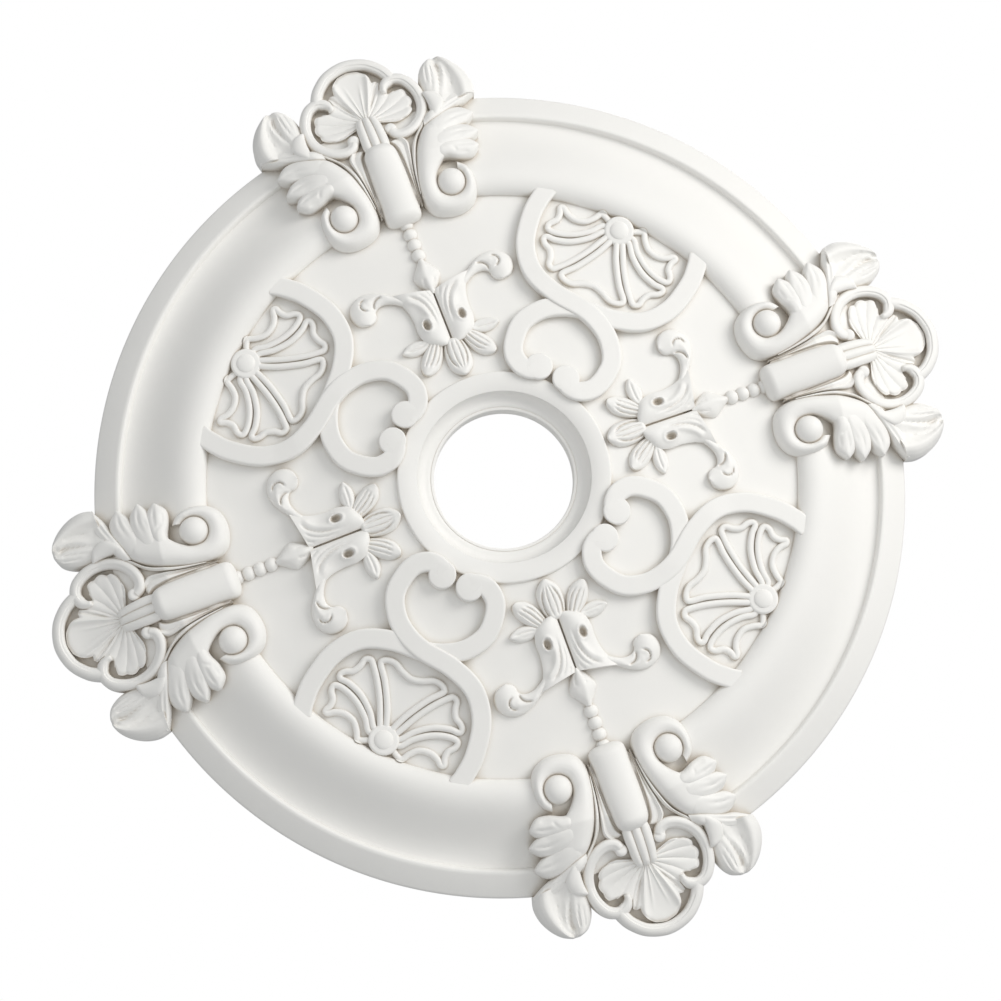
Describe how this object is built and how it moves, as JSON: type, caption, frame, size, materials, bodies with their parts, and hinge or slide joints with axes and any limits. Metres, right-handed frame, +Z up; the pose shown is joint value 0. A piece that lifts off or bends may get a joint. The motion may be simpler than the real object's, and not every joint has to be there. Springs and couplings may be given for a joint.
{
  "type": "ceiling rose",
  "caption": "Round cast ceiling rose with a centre hole, strapwork, shells, pendants and cartouches over a moulded border, fixed flat to a ceiling.",
  "frame": {"origin": "centre of the flat back, where the hole's axis meets the ceiling", "axes": "+Z up into the ceiling, so the carved face looks along -Z; +X and +Y each run out through the middle of a cartouche"},
  "size_m": [0.6954, 0.6954, 0.0583],
  "materials": {
    "white_cast": "matt factory primer on cast polyurethane"
  },
  "bodies": {
    "root": {"ceiling_rose": "white_cast"}
  },
  "joints": []
}
